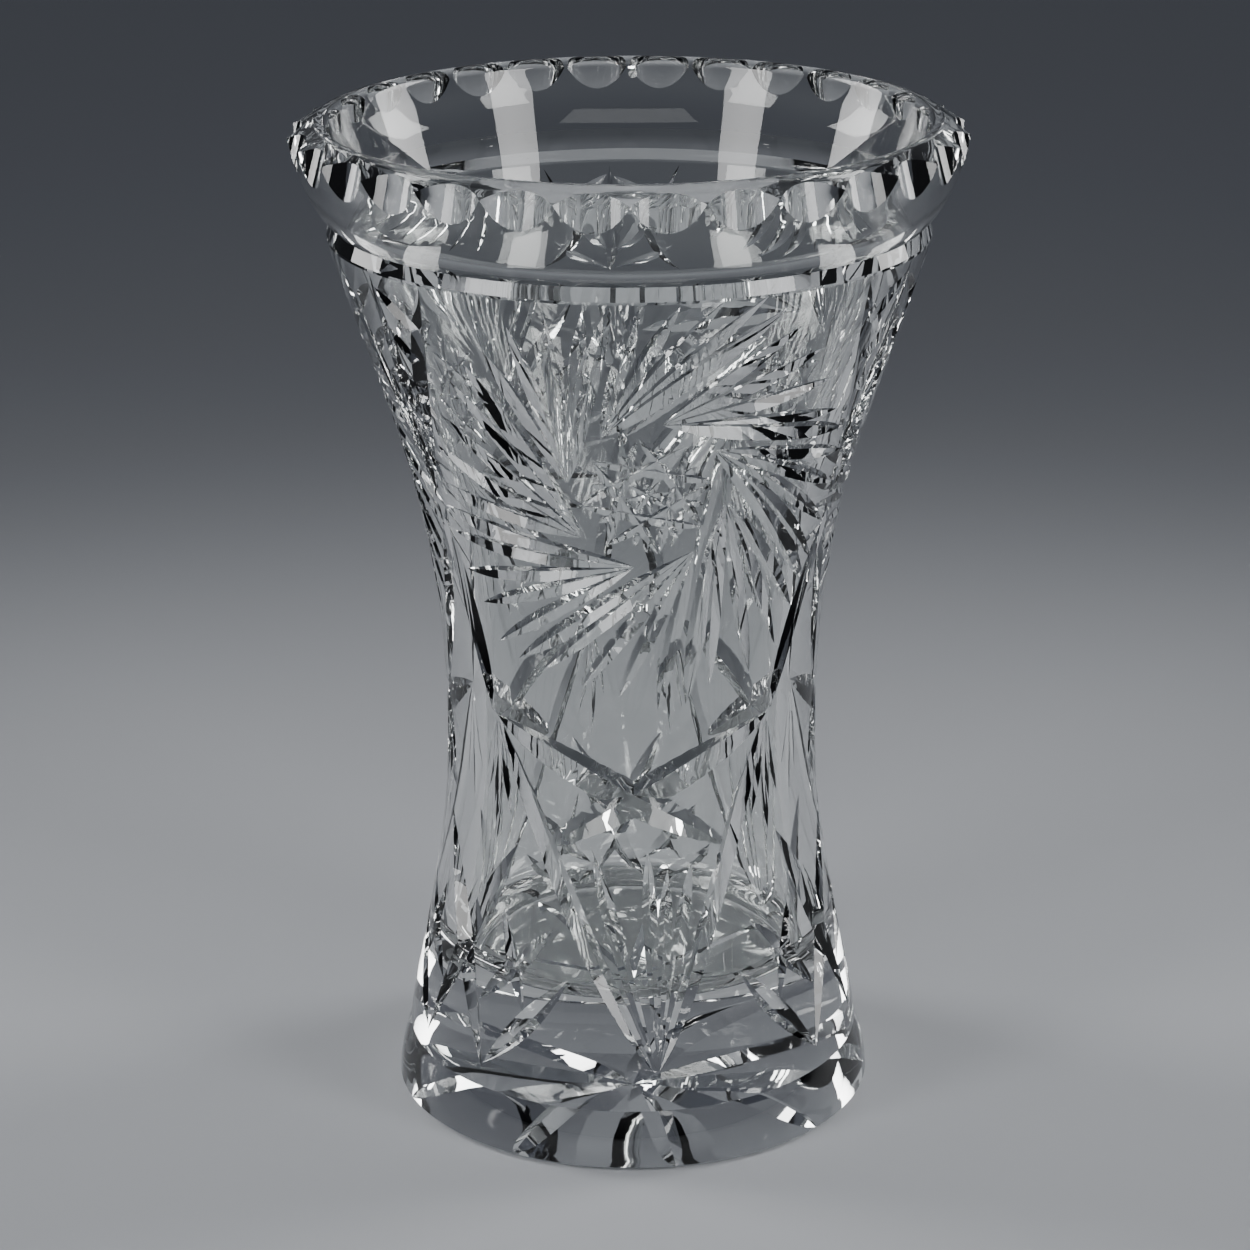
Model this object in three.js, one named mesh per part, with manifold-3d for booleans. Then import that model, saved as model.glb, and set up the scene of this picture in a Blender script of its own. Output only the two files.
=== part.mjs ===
// A footed vase of heavy cut lead crystal, which flares from a narrow waist to a scalloped collar.
// Millimetres, +Z up. The origin is the centre of the flat underside, and angles run round the
// vase from the -Y side towards +X. The vase is one piece of glass. It is built as six regions
// that meet face to face on level planes, where its outline, its hollow or its pattern turns.
import * as THREE from 'three';
import { mergeVertices } from 'three/addons/utils/BufferGeometryUtils.js';
import Module from 'manifold-3d';

// Heights of the stretches of the outline, from the bottom up.
const foot_rise = 12;
const base_rise = 12;
const stem_rise = 54;
const bowl_rise = 103.5;
const groove_rise = 3.1;
const collar_rise = 16.7;
const rim_drop = 2.8;

// Outer radii where those stretches meet.
const foot_radius = 49.5;
const ledge_radius = 46.9;
const stem_radius = 44.9;
const waist_radius = 37.85;
const shoulder_radius = 59.4;
const groove_radius = 58.5;
const rim_radius = 66.3;

// Where the curves of the outline bend: each is a share of the way from one corner to the next, in
// radius and in height.
const foot_bend = [0.13, 0.46];
const base_bend = [0.05, 0.3];
const stem_bends = [[0.84, 0.544], [1, 0.772]];
const bowl_bends = [[0, 0.5], [0.545, 0.67]];
const collar_bend = [0.74, 0.32];

// Glass thickness, measured level, and the rounding of the hollow's floor, the foot and the rim.
const wall = 8;
const rim_wall = 8.1;
const floor_thickness = 30;
const floor_fillet = 6;
const foot_bevel = 0.8;
const crest_round = 2.2;
const crest_slope = 28;

// Thumb cuts round the rim, made by a round-edged wheel that leans inwards.
const scallop_count = 30;
const scallop_radius = 11.5;
const scallop_depth = 3.5;
const scallop_drop = 8.1;

// The cut pattern: three equal panels. Turns are in degrees, and each spot of a panel is an angle
// from the panel's middle and a share of the stem's or the bowl's height.
const panel_count = 3;
const panel_turn = 4;
const top_corner = [44, 0.985];
const side_corner = [60, 0.53];
const low_corner = [45, 0.116];
const cross_end = [-30, 0.73];
const vee_end = [1, -0.03];
const boundary_start = [47.5, -0.15];
const boundary_bend = [60.5, 0.41];
const boundary_end = [78, 0.74];

// V-shaped grooves: the half angle of the wheel's edge, and how deep each kind is cut.
const mitre_half_angle = 56;
const border_depth = 1.6;
const cross_depth = 1.8;
const vee_depth = 1.3;
const boundary_depth = 1.9;
const arm_depth = 1.25;

// The pinwheel in each panel.
const arm_count = 8;
const arm_centre = 0.61;
const arm_first_angle = 172;
const arm_lean = 60;
const arm_start = 15.5;
const arm_reach = 43;

// The star under the foot.
const star_rays = 9;
const star_turn = 10;
const star_radius = 48;
const star_depth = 1.4;

// Steps round the vase, round the wheel of a thumb cut and along a groove, and the small lengths
// that keep a groove's cutter above the glass and off its surface at the ends.
const round_steps = 60;
const wheel_steps = 28;
const cut_steps = 5;
const cut_lift = 1.5;
const cut_sink = 0.06;

const base_top = foot_rise + base_rise;
const waist_height = base_top + stem_rise;
const shoulder_height = waist_height + bowl_rise;
const groove_height = shoulder_height + groove_rise;
const edge_height = groove_height + collar_rise;
const total_height = edge_height + rim_drop;
const stemHeight = (share) => base_top + share * stem_rise;
const bowlHeight = (share) => waist_height + share * bowl_rise;
const panel_height = bowlHeight(side_corner[1]);

const wasm = await Module();
wasm.setup();

const point = (radius, height) => new THREE.Vector2(radius, height);

// A point part of the way from one corner of an outline to another, in radius and in height.
const between = (from, to, [across, up]) => point(
  THREE.MathUtils.lerp(from.x, to.x, across),
  THREE.MathUtils.lerp(from.y, to.y, up),
);

// The outline's corners, and its curves with one bend or two: the base, which rises almost upright
// from the foot, the stem that narrows to the waist, the flaring bowl, and the collar.
const ledge = point(ledge_radius, foot_rise);
const stem_foot = point(stem_radius, base_top);
const waist = point(waist_radius, waist_height);
const shoulder = point(shoulder_radius, shoulder_height);
const groove = point(groove_radius, groove_height);
const rim_edge = point(rim_radius, edge_height);
const curveOfOne = (from, to, bend) => (
  new THREE.QuadraticBezierCurve(from, between(from, to, bend), to)
);
const curveOfTwo = (from, to, [first, second]) => (
  new THREE.CubicBezierCurve(from, between(from, to, first), between(from, to, second), to)
);
const base_curve = curveOfOne(ledge, stem_foot, base_bend);
const stem_curve = curveOfTwo(stem_foot, waist, stem_bends);
const bowl_curve = curveOfTwo(waist, shoulder, bowl_bends);
const collar_curve = curveOfOne(groove, rim_edge, collar_bend);

// Radius of a curve at a height, found by halving along it.
function radiusOn(curve, height) {
  let low = 0;
  let high = 1;
  for (let i = 0; i < 40; i += 1) {
    const middle = (low + high) / 2;
    if (curve.getPoint(middle).y < height) low = middle;
    else high = middle;
  }
  return curve.getPoint((low + high) / 2).x;
}

// Outer radius of the uncut body at a height between the foot and the shoulder.
function radiusAt(height) {
  if (height < base_top) return radiusOn(base_curve, height);
  return radiusOn(height < waist_height ? stem_curve : bowl_curve, height);
}

// A closed geometry as a solid: its shared vertices merged and its empty triangles dropped.
function toSolid(geometry) {
  geometry.deleteAttribute('normal');
  geometry.deleteAttribute('uv');
  const merged = mergeVertices(geometry);
  const index = merged.index.array;
  const triangles = [];
  for (let i = 0; i < index.length; i += 3) {
    const [a, b, c] = index.slice(i, i + 3);
    if (a !== b && b !== c && c !== a) triangles.push(a, b, c);
  }
  const positions = new Float32Array(merged.attributes.position.array);
  return new wasm.Manifold(
    new wasm.Mesh({ numProp: 3, vertProperties: positions, triVerts: new Uint32Array(triangles) }),
  );
}

// A solid turned from an outline of radius and height.
function turned(outline) {
  return toSolid(new THREE.LatheGeometry(outline, round_steps).rotateX(Math.PI / 2));
}

// Points up the outer face of the body.
function outerFace(low, high, steps) {
  return Array.from({ length: steps + 1 }, (_, i) => {
    const height = THREE.MathUtils.lerp(low, high, i / steps);
    return point(radiusAt(height), height);
  });
}

// Points up the inner face, one wall in from the outer face.
function innerFace(low, high, steps) {
  return outerFace(low, high, steps).map((p) => point(p.x - wall, p.y));
}

// A ring of wall between two levels.
function wallRing(low, high, steps) {
  const outer = outerFace(low, high, steps);
  const inner = innerFace(low, high, steps).reverse();
  return turned([...outer, ...inner, outer[0]]);
}

// The solid foot: a plain band that spreads down to the resting face.
function footBlank() {
  const edge = point(foot_radius, foot_bevel);
  const band = curveOfOne(edge, ledge, foot_bend);
  return turned([
    point(0, 0),
    point(foot_radius - foot_bevel, 0),
    ...band.getPoints(3),
    point(0, foot_rise),
  ]);
}

// The solid glass between the foot and the floor of the hollow.
function baseBlank() {
  const outer = outerFace(foot_rise, floor_thickness, 4);
  return turned([point(0, foot_rise), ...outer, point(0, floor_thickness)]);
}

// The stem's wall, with the rounded corner where it rises from the floor.
function stemBlank() {
  const corner_top = floor_thickness + floor_fillet;
  const corner_radius = radiusAt(corner_top) - wall;
  const corner = Array.from({ length: 4 }, (_, i) => {
    const turn = (i / 4) * (Math.PI / 2);
    return point(
      corner_radius - floor_fillet * (1 - Math.cos(turn)),
      corner_top - floor_fillet * Math.sin(turn),
    );
  });
  const outer = outerFace(floor_thickness, waist_height, 4);
  const inner = innerFace(corner_top, waist_height, 3).reverse();
  const corner_end = point(corner_radius - floor_fillet, floor_thickness);
  return turned([...outer, ...inner, ...corner.slice(1), corner_end, outer[0]]);
}

// The collar: a groove above the shoulder, a flare up to the rim's outer edge, and a slope up from
// that edge to a rounded crest at the inner edge.
function collarBlank() {
  const crest_radius = rim_radius - rim_wall + crest_round;
  const crest_height = total_height - crest_round;
  const crest = [90 - crest_slope, 90, 135, 180].map((degrees) => {
    const turn = THREE.MathUtils.degToRad(degrees);
    return point(
      crest_radius + crest_round * Math.cos(turn),
      crest_height + crest_round * Math.sin(turn),
    );
  });
  return turned([
    shoulder,
    ...collar_curve.getPoints(5),
    ...crest,
    point(shoulder_radius - wall, shoulder_height),
    shoulder,
  ]);
}

// Where an angle in degrees and a height lie on the body, and which way is out.
function onBody(degrees, height) {
  const turn = THREE.MathUtils.degToRad(degrees);
  const out = new THREE.Vector3(Math.sin(turn), -Math.cos(turn), 0);
  const slope = radiusAt(height + 0.5) - radiusAt(height - 0.5);
  return {
    place: out.clone().multiplyScalar(radiusAt(height)).setZ(height),
    normal: out.clone().setZ(-slope).normalize(),
  };
}

// A V-shaped groove along a path over a surface. It is deepest half way and runs out at both ends.
function mitreCut(surfaceAt, depth) {
  const spread = Math.tan(THREE.MathUtils.degToRad(mitre_half_angle));
  const positions = [];
  for (let i = 0; i <= cut_steps; i += 1) {
    const t = i / cut_steps;
    const { place, normal } = surfaceAt(t);
    const along = surfaceAt(t + 0.01).place.sub(surfaceAt(t - 0.01).place).normalize();
    const side = new THREE.Vector3().crossVectors(along, normal).normalize();
    const sink = depth * (1 - (2 * t - 1) ** 2) - cut_sink;
    const top = place.clone().addScaledVector(normal, cut_lift);
    const reach = (sink + cut_lift) * spread;
    positions.push(...top.clone().addScaledVector(side, -reach).toArray());
    positions.push(...place.clone().addScaledVector(normal, -sink).toArray());
    positions.push(...top.clone().addScaledVector(side, reach).toArray());
  }
  const last = cut_steps * 3;
  const index = [0, 1, 2, last, last + 2, last + 1];
  for (let i = 0; i < last; i += 3) {
    for (let k = 0; k < 3; k += 1) {
      const a = i + k;
      const b = i + ((k + 1) % 3);
      index.push(a, a + 3, b + 3, a, b + 3, b);
    }
  }
  const geometry = new THREE.BufferGeometry();
  geometry.setAttribute('position', new THREE.Float32BufferAttribute(positions, 3));
  geometry.setIndex(index);
  return toSolid(geometry);
}

// A groove on the body between two spots, each an angle and a height, by way of a third.
function bodyCut(from, to, depth, via = null) {
  const start = point(...from);
  const end = point(...to);
  const middle = via ? point(...via) : start.clone().lerp(end, 0.5);
  const path = new THREE.QuadraticBezierCurve(start, middle, end);
  return mitreCut((t) => {
    const spot = path.getPoint(t);
    return onBody(spot.x, spot.y);
  }, depth);
}

// One arm of the pinwheel: it starts beside the pinwheel's middle and leans away from the radius.
function armCut(centre, number) {
  const pinwheel_height = bowlHeight(arm_centre);
  const degrees_per_mm = THREE.MathUtils.radToDeg(1 / radiusAt(pinwheel_height));
  const start_angle = THREE.MathUtils.degToRad(arm_first_angle - (number * 360) / arm_count);
  const heading = start_angle - THREE.MathUtils.degToRad(arm_lean);
  const cosine = Math.cos(heading - start_angle);
  const length = Math.sqrt(arm_reach ** 2 - arm_start ** 2 * (1 - cosine ** 2)) - arm_start * cosine;
  const start = point(Math.cos(start_angle), Math.sin(start_angle)).multiplyScalar(arm_start);
  const end = start.clone().add(point(Math.cos(heading), Math.sin(heading)).multiplyScalar(length));
  const spot = (p) => [centre + p.x * degrees_per_mm, pinwheel_height + p.y];
  return bodyCut(spot(start), spot(end), arm_depth);
}

// The main grooves of one panel, which is symmetrical apart from its pinwheel.
function panelCuts(centre) {
  const cuts = [];
  for (const side of [-1, 1]) {
    const onBowl = ([degrees, share]) => [centre + side * degrees, bowlHeight(share)];
    const onStem = ([degrees, share]) => [centre + side * degrees, stemHeight(share)];
    cuts.push(bodyCut(onBowl(top_corner), onBowl(side_corner), border_depth));
    cuts.push(bodyCut(onBowl(side_corner), onBowl(low_corner), border_depth));
    cuts.push(bodyCut(onBowl(low_corner), onStem(cross_end), cross_depth));
    cuts.push(bodyCut(onBowl(low_corner), onStem(vee_end), vee_depth));
    cuts.push(
      bodyCut(onStem(boundary_start), onStem(boundary_end), boundary_depth, onStem(boundary_bend)),
    );
  }
  for (let i = 0; i < arm_count; i += 1) cuts.push(armCut(centre, i));
  return cuts;
}

// One ray of the star under the foot.
function rayCut(number) {
  const turn = THREE.MathUtils.degToRad(star_turn + (number * 360) / star_rays);
  const out = new THREE.Vector3(Math.sin(turn), -Math.cos(turn), 0);
  return mitreCut((t) => ({
    place: out.clone().multiplyScalar(star_radius * t),
    normal: new THREE.Vector3(0, 0, -1),
  }), star_depth);
}

// One thumb cut of the rim. Its wheel touches the outer face at its foot, and leans in above.
function scallopCut(number) {
  const foot = radiusOn(collar_curve, total_height - scallop_drop);
  const lean = Math.atan2(rim_radius - scallop_depth - foot, scallop_drop);
  const length = 4 * scallop_drop;
  const wheel = new THREE.CylinderGeometry(scallop_radius, scallop_radius, length, wheel_steps);
  wheel.rotateX(Math.PI / 2);
  wheel.translate(0, -scallop_radius, 0);
  wheel.rotateX(lean);
  wheel.translate(0, -(rim_radius - scallop_depth), total_height);
  wheel.rotateZ(((number + 0.5) * 2 * Math.PI) / scallop_count);
  return toSolid(wheel);
}

const cuts = [];
for (let i = 0; i < panel_count; i += 1) {
  cuts.push(...panelCuts(panel_turn + (i * 360) / panel_count));
}
for (let i = 0; i < star_rays; i += 1) cuts.push(rayCut(i));
for (let i = 0; i < scallop_count; i += 1) cuts.push(scallopCut(i));
const all_cuts = wasm.Manifold.union(cuts);

function toGeometry(solid) {
  const { vertProperties, triVerts } = solid.getMesh();
  const geometry = new THREE.BufferGeometry();
  geometry.setAttribute('position', new THREE.BufferAttribute(vertProperties, 3));
  geometry.setIndex(new THREE.BufferAttribute(triVerts, 1));
  geometry.computeVertexNormals();
  return geometry;
}

function region(name, blank) {
  const glass = new THREE.MeshStandardMaterial({ color: 0xdfe6e4, roughness: 0.03, metalness: 0 });
  const mesh = new THREE.Mesh(toGeometry(blank.subtract(all_cuts)), glass);
  mesh.name = name;
  return mesh;
}

const vase = new THREE.Group();
vase.add(region('foot', footBlank()));
vase.add(region('base', baseBlank()));
vase.add(region('stem_wall', stemBlank()));
vase.add(region('lower_bowl', wallRing(waist_height, panel_height, 3)));
vase.add(region('upper_bowl', wallRing(panel_height, shoulder_height, 3)));
vase.add(region('collar', collarBlank()));

export default vase;
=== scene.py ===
"""A cut crystal vase: one continuous piece of clear lead glass, turned as a smooth blank and then
cut with leaf-shaped mitre grooves, thumb cuts round the rim and a star under the foot.

Lengths are in metres. Angles run round the vase from the -Y side towards +X, in degrees, and
heights are above the resting plane. A spot in the outline is a (radius, height) pair, and a spot
on the body is an (angle, height) pair.
"""

import math
import random

import bmesh
import bpy
from mathutils import Euler, Matrix, Vector


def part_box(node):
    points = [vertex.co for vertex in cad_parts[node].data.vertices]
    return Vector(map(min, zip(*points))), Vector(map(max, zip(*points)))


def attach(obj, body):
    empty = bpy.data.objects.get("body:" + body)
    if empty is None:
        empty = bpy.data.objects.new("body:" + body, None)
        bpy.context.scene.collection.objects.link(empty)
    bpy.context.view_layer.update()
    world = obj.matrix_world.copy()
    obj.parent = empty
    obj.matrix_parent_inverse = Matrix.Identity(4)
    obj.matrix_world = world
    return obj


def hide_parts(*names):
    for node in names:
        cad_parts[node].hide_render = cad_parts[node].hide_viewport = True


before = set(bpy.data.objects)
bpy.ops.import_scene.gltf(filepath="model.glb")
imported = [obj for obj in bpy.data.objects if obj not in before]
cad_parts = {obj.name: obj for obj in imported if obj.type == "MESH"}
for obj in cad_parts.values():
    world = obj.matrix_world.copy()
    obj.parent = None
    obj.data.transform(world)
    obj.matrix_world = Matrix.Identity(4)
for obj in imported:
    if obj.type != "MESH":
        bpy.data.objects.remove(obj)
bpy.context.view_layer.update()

MM = 0.001

# Sizes of the blank that the CAD nodes' boxes give.
FOOT_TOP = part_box("foot")[1].z
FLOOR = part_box("base")[1].z
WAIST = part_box("stem_wall")[1].z
SIDE_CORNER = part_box("lower_bowl")[1].z
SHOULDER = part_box("upper_bowl")[1].z
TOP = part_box("collar")[1].z
FOOT_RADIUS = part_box("foot")[1].x
LEDGE_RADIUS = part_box("base")[1].x
SHOULDER_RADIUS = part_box("upper_bowl")[1].x

# Sizes that no box gives, the same as in the CAD model.
BASE_TOP = FOOT_TOP + 12 * MM
STEM_RADIUS = 44.9 * MM
WAIST_RADIUS = 37.85 * MM
GROOVE_RADIUS = 58.5 * MM
GROOVE = SHOULDER + 3.1 * MM
RIM_RADIUS = 66.3 * MM
RIM_DROP = 2.8 * MM
RIM_INNER = 58.2 * MM
CREST_ROUND = 2.2 * MM
WALL = 8 * MM
FLOOR_FILLET = 6 * MM

# Where the base's curve bends, in from the ledge and up from the foot. The other curves bend at
# shares of their width and height. The bowl's share of its width is measured from the shoulder.
BASE_BEND_IN = 0.1 * MM
BASE_BEND_UP = 3.6 * MM
STEM_BEND_ACROSS = 0.84
STEM_BEND_UP = 0.544
STEM_END_UP = 0.772
BOWL_START_UP = 0.5
BOWL_BEND_IN = 0.455
BOWL_BEND_UP = 0.67
COLLAR_BEND_ACROSS = 0.74
COLLAR_BEND_UP = 0.32

# How finely the blank is divided round its axis, and a cut along its length.
ROUND_STEPS = 180
CUT_STEPS = 16

# The material slots of the mesh: the blank's own surface, and the sides of the cuts.
POLISHED_SLOT = 0
CUT_SLOT = 1

PANELS = 3
MITRE_HALF_ANGLE = math.radians(55)

random.seed(8)


# ---------------------------------------------------------------- the blank

def bezier(points, t):
    """A point on the curve that a list of control points gives."""
    while len(points) > 1:
        points = [a.lerp(b, t) for a, b in zip(points, points[1:])]
    return points[0]


def spot(across, height):
    """A spot in the outline, where across is a radius, or on the body, where it is an angle."""
    return Vector((across, height))


BASE_CURVE = [
    spot(LEDGE_RADIUS, FOOT_TOP),
    spot(LEDGE_RADIUS - BASE_BEND_IN, FOOT_TOP + BASE_BEND_UP),
    spot(STEM_RADIUS, BASE_TOP),
]
STEM_CURVE = [
    spot(STEM_RADIUS, BASE_TOP),
    spot(STEM_RADIUS + STEM_BEND_ACROSS * (WAIST_RADIUS - STEM_RADIUS),
         BASE_TOP + STEM_BEND_UP * (WAIST - BASE_TOP)),
    spot(WAIST_RADIUS, BASE_TOP + STEM_END_UP * (WAIST - BASE_TOP)),
    spot(WAIST_RADIUS, WAIST),
]
BOWL_CURVE = [
    spot(WAIST_RADIUS, WAIST),
    spot(WAIST_RADIUS, WAIST + BOWL_START_UP * (SHOULDER - WAIST)),
    spot(SHOULDER_RADIUS - BOWL_BEND_IN * (SHOULDER_RADIUS - WAIST_RADIUS),
         WAIST + BOWL_BEND_UP * (SHOULDER - WAIST)),
    spot(SHOULDER_RADIUS, SHOULDER),
]
COLLAR_CURVE = [
    spot(GROOVE_RADIUS, GROOVE),
    spot(GROOVE_RADIUS + COLLAR_BEND_ACROSS * (RIM_RADIUS - GROOVE_RADIUS),
         GROOVE + COLLAR_BEND_UP * (TOP - RIM_DROP - GROOVE)),
    spot(RIM_RADIUS, TOP - RIM_DROP),
]


def radius_at(height):
    """Outer radius of the uncut body at a height between the foot and the shoulder."""
    curve = BASE_CURVE if height < BASE_TOP else STEM_CURVE if height < WAIST else BOWL_CURVE
    halvings = 24
    low, high = 0.0, 1.0
    for _ in range(halvings):
        middle = (low + high) / 2
        if bezier(curve, middle).y < height:
            low = middle
        else:
            high = middle
    return bezier(curve, low).x


def steps(low, high, count):
    """Evenly spaced numbers from low to high, with count gaps between them."""
    return [low + (high - low) * i / count for i in range(count + 1)]


def arc(centre, radius, start, end, count):
    """Points along an arc in the outline's plane, between two angles in degrees."""
    turns = [math.radians(a) for a in steps(start, end, count)]
    return [centre + radius * spot(math.cos(a), math.sin(a)) for a in turns]


def outer_outline():
    """The outside of the blank, from the middle of the underside up to the rim."""
    edge = 0.8 * MM
    shoulder_edge = 0.5 * MM
    foot_bend = spot(FOOT_RADIUS - 0.35 * MM, 6 * MM)
    foot_curve = [spot(FOOT_RADIUS, edge), foot_bend, BASE_CURVE[0]]
    points = [spot(0, 0), spot(FOOT_RADIUS / 2, 0), spot(FOOT_RADIUS - edge, 0), foot_curve[0]]
    for curve, count in ((foot_curve, 8), (BASE_CURVE, 8), (STEM_CURVE, 22), (BOWL_CURVE, 38)):
        points += [bezier(curve, t) for t in steps(0, 1, count)[1:]]
    points += [spot(SHOULDER_RADIUS, SHOULDER + shoulder_edge)]
    points += [bezier(COLLAR_CURVE, t) for t in steps(0, 1, count=14)]
    return points


def inner_outline():
    """The inside of the blank, from the rim down to the middle of the floor."""
    crest = spot(RIM_INNER + CREST_ROUND, TOP - CREST_ROUND)
    points = arc(crest, CREST_ROUND, start=62, end=180, count=10)
    mouth, neck = points[-1], spot(SHOULDER_RADIUS - WALL, SHOULDER)
    points += [mouth.lerp(neck, t) for t in steps(0, 1, count=6)[1:]]
    corner_top = FLOOR + FLOOR_FILLET
    heights = steps(SHOULDER, corner_top, count=44)[1:]
    points += [spot(radius_at(z) - WALL, z) for z in heights]
    corner = spot(radius_at(corner_top) - WALL - FLOOR_FILLET, corner_top)
    points += arc(corner, FLOOR_FILLET, start=0, end=-90, count=7)[1:]
    floor_shares = (0.66, 0.33, 0)
    points += [spot(corner.x * share, FLOOR) for share in floor_shares]
    return points


def turned_mesh(name, outline, count):
    """A closed mesh turned from an outline that starts and ends on the axis."""
    bm = bmesh.new()
    turns = [2 * math.pi * i / count for i in range(count)]
    rings = []
    for point in outline:
        if point.x == 0:
            rings.append([bm.verts.new((0, 0, point.y))] * count)
            continue
        ring = [(point.x * math.sin(a), -point.x * math.cos(a), point.y) for a in turns]
        rings.append([bm.verts.new(place) for place in ring])
    for low, high in zip(rings, rings[1:]):
        for i in range(count):
            j = (i + 1) % count
            corners = list(dict.fromkeys([low[i], low[j], high[j], high[i]]))
            bm.faces.new(corners)
    mesh = bpy.data.meshes.new(name)
    bm.to_mesh(mesh)
    bm.free()
    return mesh


# ---------------------------------------------------------------- the cuts

def on_body(angle, height):
    """The place on the stem or bowl at an angle and a height, and the way out of the glass."""
    turn = math.radians(angle)
    out = Vector((math.sin(turn), -math.cos(turn), 0))
    nudge = 0.3 * MM
    slope = (radius_at(height + nudge) - radius_at(height - nudge)) / (2 * nudge)
    place = out * radius_at(height) + Vector((0, 0, height))
    return place, (out - Vector((0, 0, slope))).normalized()


def groove(surface_at, depth, skew=0.5, half_angle=MITRE_HALF_ANGLE, fullness=2):
    """A V-shaped cutter along a path, as a row of triangles. It is deepest at skew and runs out of
    the glass at both ends, the nearer to them the fuller it is."""
    lift = 1.6 * MM
    clearance = 0.05 * MM
    nudge = 0.01
    stations = []
    for t in steps(0, 1, CUT_STEPS):
        place, normal = surface_at(t)
        along = (surface_at(t + nudge)[0] - surface_at(t - nudge)[0]).normalized()
        side = along.cross(normal).normalized()
        share = t / skew - 1 if t < skew else (t - skew) / (1 - skew)
        sink = depth * (1 - abs(share) ** fullness) - clearance
        reach = (sink + lift) * math.tan(half_angle)
        top = place + normal * lift
        stations.append([top - side * reach, place - normal * sink, top + side * reach])
    return stations


def body_groove(start, end, depth, via=None, skew=0.5, half_angle=MITRE_HALF_ANGLE, fullness=2):
    """A groove on the body from one spot to another, bent towards a third."""
    first, last = Vector(start), Vector(end)
    bend = Vector(via) if via else first.lerp(last, 0.5)
    path = [first, bend, last]

    def surface_at(t):
        here = bezier(path, t)
        return on_body(here.x, here.y)

    return groove(surface_at, depth, skew, half_angle, fullness)


def add_slots(mesh):
    """Empty slots for the two materials, which are filled in when the mesh is done."""
    for _ in (POLISHED_SLOT, CUT_SLOT):
        mesh.materials.append(None)


def cutter_mesh(name, grooves):
    """One mesh of closed cutters that don't touch each other."""
    bm = bmesh.new()
    for stations in grooves:
        rows = [[bm.verts.new(p) for p in row] for row in stations]
        for low, high in zip(rows, rows[1:]):
            for k in range(len(low)):
                m = (k + 1) % len(low)
                bm.faces.new([low[k], high[k], high[m], low[m]])
        bm.faces.new(rows[0])
        bm.faces.new(list(reversed(rows[-1])))
    bmesh.ops.triangulate(bm, faces=bm.faces)
    for face in bm.faces:
        face.material_index = CUT_SLOT
    mesh = bpy.data.meshes.new(name)
    bm.to_mesh(mesh)
    bm.free()
    add_slots(mesh)
    return mesh


def cut(mesh, grooves):
    """The mesh with a batch of grooves cut out of it."""
    body = bpy.data.objects.new("body", mesh)
    cutter = bpy.data.objects.new("cutter", cutter_mesh("cutter", grooves))
    for obj in (body, cutter):
        bpy.context.scene.collection.objects.link(obj)
    boolean = body.modifiers.new("cut", "BOOLEAN")
    boolean.operation = "DIFFERENCE"
    boolean.solver = "MANIFOLD"
    boolean.object = cutter
    bpy.context.view_layer.update()
    graph = bpy.context.evaluated_depsgraph_get()
    result = bpy.data.meshes.new_from_object(body.evaluated_get(graph))
    for obj in (body, cutter):
        data = obj.data
        bpy.data.objects.remove(obj)
        bpy.data.meshes.remove(data)
    return result


# The pattern. Each function gives batches: lists of grooves that stay clear of each other. An angle
# that is multiplied by side is measured from the middle to both sides. The heights in a list of
# strokes are in millimetres.

# The centre of the pinwheel, from the middle of its panel.
PINWHEEL = spot(4, 141 * MM)

# The low corners of a panel, where its borders, the X at the waist and the V all meet.
NODE = 90 * MM
NODE_ANGLE = 45

# Half of a panel's width, and how much further round the cuts between two panels stand on the stem.
HALF_PANEL = 60
LOWER_TURN = 6

# How far a hand-made cut may be from where it is meant to be, in degrees and in millimetres.
HAND_ERROR = 0.35


def near(angle, height):
    """A spot a hand's error away from where it is meant to be."""
    aside = random.uniform(-HAND_ERROR, HAND_ERROR)
    above = random.uniform(-HAND_ERROR, HAND_ERROR) * MM
    return (angle + aside, height + above)


def in_every_panel(make):
    """The batches that make gives for a panel's turn, joined over all the panels."""
    turns = [360 * i / PANELS for i in range(PANELS)]
    made = [make(turn) for turn in turns]
    return [[cutter for batch in same for cutter in batch] for same in zip(*made)]


def borders(turn):
    """The long grooves down both sides of a panel, from its top corners to its low corners."""
    top_turn, top_angle = 4, 45
    side_turn, side_angle = 3, 62
    below_shoulder = 0.5 * MM
    depth = 1.6 * MM
    upper, lower = [], []
    for side in (-1, 1):
        top = near(turn + top_turn + side * top_angle, SHOULDER - below_shoulder)
        middle = near(turn + side_turn + side * side_angle, SIDE_CORNER)
        low = near(turn + side * NODE_ANGLE, NODE)
        upper.append(body_groove(top, middle, depth, fullness=3))
        lower.append(body_groove(middle, low, depth, fullness=3))
    return [upper, lower]


def crossed_bands(turn):
    """The wide X at the waist."""
    low_turn, low_angle, low_height = 1, 30, 63.5 * MM
    bend_angle, bend_height = 7.5, 80.5 * MM
    arms = []
    for side in (-1, 1):
        start = near(turn + side * NODE_ANGLE, NODE)
        end = near(turn + low_turn - side * low_angle, low_height)
        bend = (turn + side * bend_angle, bend_height)
        arms.append([body_groove(start, end, depth=2.2 * MM, via=bend, half_angle=math.radians(58),
                                 fullness=2.8)])
    return arms


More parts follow.
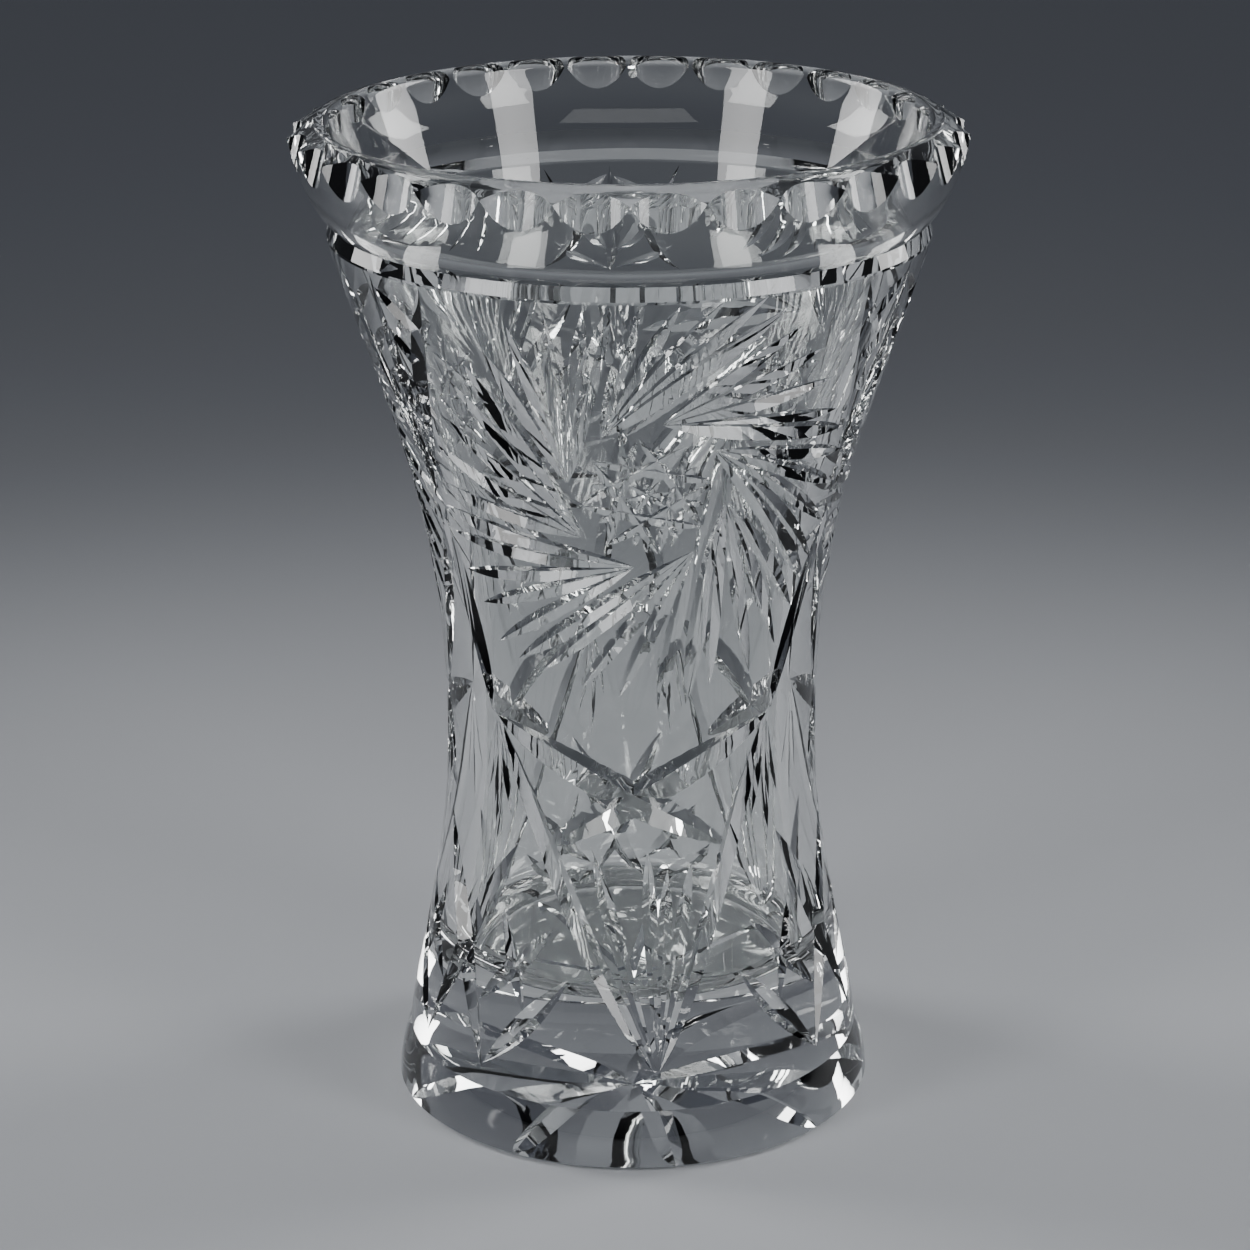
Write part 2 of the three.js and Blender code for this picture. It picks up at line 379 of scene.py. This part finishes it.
def big_vee(turn):
    """The long V below the X, and the strokes that stand in it."""
    foot = spot(turn + 6, 20 * MM)
    top_angle, foot_angle = 44, 0.6
    batches = []
    for side in (-1, 1):
        top = near(turn + side * top_angle, NODE)
        low = near(foot.x + side * foot_angle, foot.y)
        batches.append([body_groove(top, low, depth=1.5 * MM, fullness=4)])
    stroke_rise = 2 * MM
    for angle, height, lean in ((-12, 65, -0.8), (4.5, 66, 0), (10.5, 61, 0.4), (17.5, 62.5, 0.8)):
        top = near(turn + angle, height * MM)
        low = near(foot.x + lean, foot.y + stroke_rise)
        batches.append([body_groove(top, low, depth=1.15 * MM, skew=0.32)])
    return batches


def node_fans(turn):
    """Short strokes that hang from the low corners of a panel."""
    top_angle, low_angle = 44.3, 44
    below_node = 1 * MM
    batches = []
    for lean, low, depth in ((5.5, 72, 0.8), (0.5, 63, 0.9), (-5, 69, 0.8)):
        strokes = []
        for side in (-1, 1):
            start = near(turn + side * top_angle, NODE - below_node)
            end = near(turn + side * (low_angle + lean), low * MM)
            strokes.append(body_groove(start, end, depth * MM))
        batches.append(strokes)
    return batches


def boundary_crosses(turn):
    """The tall X between two panels, and the leaves beside it."""
    middle = turn + HALF_PANEL + LOWER_TURN

    def cut_between(low_angle, low_height, high_angle, high_height, depth, via=None):
        """A groove between two spots, with angles from the middle and heights in millimetres."""
        start = near(middle + low_angle, low_height * MM)
        end = near(middle + high_angle, high_height * MM)
        return body_groove(start, end, depth * MM, via)

    first, second, leaves, crossing = [], [], [], []
    for side, batch in ((-1, first), (1, second)):
        bend = (middle - side * 2.5, 46 * MM)
        batch.append(cut_between(side * 12.5, 16, -side * 18, 64, depth=2, via=bend))
        leaves.append(cut_between(side * 12.5, 17, side * 36, 38, depth=1.7))
        crossing.append(cut_between(side * 8, 29, side * 31, 47.5, depth=1.5))
    across = [cut_between(side * 24, 29, side * 14, 50, depth=1.2) for side in (-1, 1)]
    return [first, second, leaves, crossing, across]


def chevrons(turn):
    """The fir-tree strokes in the triangle between two panels, below the shoulder."""
    middle = turn + HALF_PANEL + PINWHEEL.x
    spine = [body_groove(near(middle, 136 * MM), near(middle, SHOULDER), depth=1.5 * MM)]
    inner_angle = 0.8
    widest, low_point, rise = 15, 135, 46
    drop = 10
    left, right = [], []
    for height in (145, 153.5, 162, 170.5, 179):
        outer_angle = widest * (height - low_point) / rise
        for side, batch in ((-1, left), (1, right)):
            start = near(middle + side * inner_angle, height * MM)
            end = near(middle + side * outer_angle, (height - drop) * MM)
            batch.append(body_groove(start, end, depth=1.2 * MM, skew=0.45))
    return [spine, left, right]


def pinwheel_spot(turn, radius, degrees):
    """A spot at a distance and a direction from the pinwheel's centre."""
    up = radius * math.sin(math.radians(degrees))
    across = radius * math.cos(math.radians(degrees))
    height = min(PINWHEEL.y + up, SHOULDER)
    return (turn + PINWHEEL.x + math.degrees(across / radius_at(height)), height)


def pinwheel(turn):
    """Arms that lean clockwise round the hobstar. Each is a fan of strokes from one apex, beside a
    deeper rail that starts at the apex before it."""
    arms = 8
    first_apex = 172
    hub = 15.5 * MM
    reach = 46 * MM
    shortest, longest = 0.93, 1.02
    rail_lean = -27
    strokes = (-34, -44, -54, -65)
    batches = [[] for _ in strokes]
    rails = [[], []]
    for i in range(arms):
        apex_angle = first_apex - i * 360 / arms
        apex = pinwheel_spot(turn, hub, apex_angle)
        before = pinwheel_spot(turn, hub, apex_angle + 360 / arms)
        far = pinwheel_spot(turn, reach, apex_angle + rail_lean)
        rails[i % 2].append(body_groove(before, near(*far), depth=1.5 * MM, fullness=3))
        for batch, lean in zip(batches, strokes):
            stroke_reach = reach * random.uniform(shortest, longest)
            end = pinwheel_spot(turn, stroke_reach, apex_angle + lean)
            batch.append(body_groove(apex, near(*end), depth=1.2 * MM, skew=0.55, fullness=2.5))
    return rails + batches


def hobstar(turn):
    """The eight-pointed star of crossing strokes in the middle of the pinwheel."""
    points = 8
    apart = 360 / points
    skip = 3
    point_lean, tip_lean = 10, 32
    point_radius = 13 * MM
    tip_outer, tip_inner = 11 * MM, 7.5 * MM
    centre_radius = 4.5 * MM
    strokes = []
    for i in range(points):
        start = pinwheel_spot(turn, point_radius, i * apart + point_lean)
        end = pinwheel_spot(turn, point_radius, (i + skip) * apart + point_lean)
        strokes.append([body_groove(start, end, depth=0.8 * MM, fullness=4)])
    tips = []
    for i in range(points):
        start = pinwheel_spot(turn, tip_outer, i * apart + tip_lean)
        end = pinwheel_spot(turn, tip_inner, i * apart + tip_lean)
        tips.append(body_groove(start, end, depth=0.6 * MM))
    centre = []
    for i in range(points // 2):
        start = pinwheel_spot(turn, centre_radius, i * apart + point_lean)
        end = pinwheel_spot(turn, -centre_radius, i * apart + point_lean)
        centre.append([body_groove(start, end, depth=0.6 * MM)])
    return strokes + [tips] + centre


def thumb_cuts():
    """The half-moon cuts round the rim, each made by a round bar that leans inwards."""
    count = 30
    half_step = 0.5
    bar = 11.5 * MM
    bar_steps = 72
    depth = 3.5 * MM
    below_rim, above_rim = -20 * MM, 8 * MM
    lean = Matrix.Rotation(math.radians(-15.4), 4, "X")
    inwards = Matrix.Translation((0, -(RIM_RADIUS - depth), TOP))
    angles = [2 * math.pi * k / bar_steps for k in range(bar_steps)]
    batches = [[], []]
    for i in range(count):
        turn = 2 * math.pi * (i + half_step) / count
        place = Matrix.Rotation(turn, 4, "Z") @ inwards @ lean
        rows = []
        for height in (below_rim, above_rim):
            rows.append([place @ Vector((bar * math.sin(a), -bar - bar * math.cos(a), height))
                         for a in reversed(angles)])
        batches[i % 2].append(rows)
    return batches


def star():
    """The star of wide grooves under the foot."""
    rays = 9
    first_ray = math.radians(10)
    reach = 48.2 * MM
    down = Vector((0, 0, -1))
    batches = []
    for i in range(rays):
        turn = 2 * math.pi * i / rays + first_ray
        out = Vector((math.sin(turn), -math.cos(turn), 0))

        def underside_at(t, out=out):
            return out * reach * t, down

        batches.append([groove(underside_at, depth=1.5 * MM, half_angle=math.radians(60), fullness=5)])
    return batches


# ---------------------------------------------------------------- the whole vase

def shells(bm):
    """The faces in groups, the smallest first. An edge joins two faces if it has no other face."""
    left = set(bm.faces)
    groups = []
    while left:
        waiting = [left.pop()]
        group = []
        while waiting:
            face = waiting.pop()
            group.append(face)
            for edge in face.edges:
                for other in edge.link_faces:
                    if len(edge.link_faces) == 2 and other in left:
                        left.remove(other)
                        waiting.append(other)
        groups.append(group)
    return sorted(groups, key=len)


def drop_shards(bm):
    """Keep the vase, and delete the specks and folded slivers that crossing cuts leave behind."""
    same_place = 0.001 * MM
    bmesh.ops.remove_doubles(bm, verts=bm.verts, dist=same_place)
    bmesh.ops.triangulate(bm, faces=bm.faces)
    stray = [face for group in shells(bm)[:-1] for face in group]
    bmesh.ops.delete(bm, geom=stray, context="FACES")


def clean_and_shade(mesh):
    """Drop the shards, and shade smoothly everywhere but across the edges of the cuts."""
    sharpest_smooth = math.radians(14)
    bm = bmesh.new()
    bm.from_mesh(mesh)
    drop_shards(bm)
    for face in bm.faces:
        face.smooth = True
    for edge in bm.edges:
        edge.smooth = len(edge.link_faces) == 2 and edge.calc_face_angle(0) < sharpest_smooth
    bm.to_mesh(mesh)
    bm.free()


def make_vase():
    """The blank with every batch of cuts taken out of it."""
    mesh = turned_mesh("crystal_vase", outer_outline() + inner_outline(), ROUND_STEPS)
    add_slots(mesh)
    batches = thumb_cuts() + star()
    for make in (borders, crossed_bands, big_vee, node_fans, boundary_crosses, chevrons, pinwheel,
                 hobstar):
        batches += in_every_panel(make)
    for batch in batches:
        mesh = cut(mesh, batch)
    clean_and_shade(mesh)
    mesh.name = "crystal_vase"
    vase = bpy.data.objects.new("crystal_vase", mesh)
    bpy.context.scene.collection.objects.link(vase)
    return vase


# ---------------------------------------------------------------- materials

def crystal(name, roughness, waviness):
    """Clear polished lead crystal, with faint polishing marks in its gloss and surface."""
    material = bpy.data.materials.new(name)
    material.use_nodes = True
    nodes, links = material.node_tree.nodes, material.node_tree.links
    shader = nodes["Principled BSDF"]
    shader.inputs["Base Color"].default_value = (0.975, 0.99, 0.98, 1)
    shader.inputs["Transmission Weight"].default_value = 1
    shader.inputs["IOR"].default_value = 1.545
    place = nodes.new("ShaderNodeTexCoord")
    marks = nodes.new("ShaderNodeTexNoise")
    marks.inputs["Scale"].default_value = 140
    marks.inputs["Detail"].default_value = 3
    gloss = nodes.new("ShaderNodeMapRange")
    gloss.inputs["To Min"].default_value = 0
    gloss.inputs["To Max"].default_value = roughness
    waves = nodes.new("ShaderNodeTexNoise")
    waves.inputs["Scale"].default_value = 60
    waves.inputs["Detail"].default_value = 1
    bump = nodes.new("ShaderNodeBump")
    bump.inputs["Distance"].default_value = waviness
    bump.inputs["Strength"].default_value = 1
    links.new(place.outputs["Object"], marks.inputs["Vector"])
    links.new(marks.outputs["Fac"], gloss.inputs["Value"])
    links.new(gloss.outputs["Result"], shader.inputs["Roughness"])
    links.new(place.outputs["Object"], waves.inputs["Vector"])
    links.new(waves.outputs["Fac"], bump.inputs["Height"])
    links.new(bump.outputs["Normal"], shader.inputs["Normal"])
    return material


def floor_material():
    """Pale grey and matt, the same all over."""
    material = bpy.data.materials.new("pale_floor")
    material.use_nodes = True
    shader = material.node_tree.nodes["Principled BSDF"]
    shader.inputs["Base Color"].default_value = (0.45, 0.463, 0.486, 1)
    shader.inputs["Roughness"].default_value = 0.7
    return material


# ---------------------------------------------------------------- the studio

def make_floor():
    """A wide round floor, just far enough below the foot for the two not to share a plane."""
    gap = 0.2 * MM
    bm = bmesh.new()
    bmesh.ops.create_circle(bm, cap_ends=True, radius=4, segments=64)
    mesh = bpy.data.meshes.new("floor")
    bm.to_mesh(mesh)
    bm.free()
    mesh.materials.append(floor_material())
    floor = bpy.data.objects.new("floor", mesh)
    floor.location.z = -gap
    bpy.context.scene.collection.objects.link(floor)


def area_light(name, place, target, size, watts, spread=180):
    """A rectangular light that faces a target and isn't seen by the camera itself."""
    light = bpy.data.lights.new(name, "AREA")
    light.spread = math.radians(spread)
    light.shape = "RECTANGLE"
    light.size, light.size_y = size
    light.energy = watts
    obj = bpy.data.objects.new(name, light)
    obj.location = place
    obj.rotation_euler = (Vector(target) - Vector(place)).to_track_quat("-Z", "Y").to_euler()
    obj.visible_camera = False
    bpy.context.scene.collection.objects.link(obj)


def make_world():
    """Soft room light: dim at the horizon and overhead, paler between them. A colour's rise is the
    height of its direction, from 0 at the horizon to 1 overhead."""
    horizon = (0.05, 0.054, 0.062, 1)
    overhead = (0.05, 0.055, 0.07, 1)
    between = (
        (0.15, (0.11, 0.115, 0.13, 1)),
        (0.3, (0.2, 0.21, 0.23, 1)),
        (0.55, (0.1, 0.105, 0.12, 1)),
        (0.8, overhead),
    )
    world = bpy.data.worlds.new("studio")
    world.use_nodes = True
    nodes, links = world.node_tree.nodes, world.node_tree.links
    place = nodes.new("ShaderNodeTexCoord")
    split = nodes.new("ShaderNodeSeparateXYZ")
    fade = nodes.new("ShaderNodeValToRGB")
    stops = fade.color_ramp.elements
    stops[0].color = horizon
    stops[1].color = overhead
    for rise, colour in between:
        stops.new(rise).color = colour
    links.new(place.outputs["Generated"], split.inputs["Vector"])
    links.new(split.outputs["Z"], fade.inputs["Fac"])
    links.new(fade.outputs["Color"], nodes["Background"].inputs["Color"])
    bpy.context.scene.world = world


def make_lights():
    """A small light by the camera, a soft box overhead, and four upright ones round the vase."""
    middle = (0, 0, 0.1)
    bowl = (0, 0, 0.16)
    upright = (0.2, 0.4)
    beside = 0.5
    area_light("near_camera", (-0.015, -0.7, 0.375), middle, size=(0.03, 0.02), watts=0.25)
    area_light("top_box", (0, -0.3, 0.7), middle, size=(0.4, 0.25), watts=0.4)
    for side in (-1, 1):
        side_place = (side * beside, 0.2, 0.36)
        front_place = (side * beside, -0.38, 0.36)
        area_light("side_box", side_place, bowl, upright, watts=0.6, spread=90)
        area_light("front_box", front_place, bowl, upright, watts=0.5, spread=90)


def make_camera():
    """The camera fitted to the ellipses of the rim and the foot."""
    camera = bpy.data.cameras.new("camera")
    camera.sensor_width = 36
    camera.lens = 103.1
    obj = bpy.data.objects.new("camera", camera)
    place = Matrix.Translation((-1.24 * MM, -688.04 * MM, 346.75 * MM))
    tilt = Euler((math.radians(70.175), 0, 0)).to_matrix().to_4x4()
    roll = Matrix.Rotation(math.radians(-0.29), 4, "Z")
    obj.matrix_world = place @ tilt @ roll
    bpy.context.scene.collection.objects.link(obj)
    bpy.context.scene.camera = obj


make_camera()
vase = make_vase()
vase.data.materials[POLISHED_SLOT] = crystal("crystal_polished", roughness=0.02, waviness=0.02 * MM)
vase.data.materials[CUT_SLOT] = crystal("crystal_cut", roughness=0.03, waviness=0.03 * MM)
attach(vase, "root")
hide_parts("foot", "base", "stem_wall", "lower_bowl", "upper_bowl", "collar")
make_floor()
make_world()
make_lights()
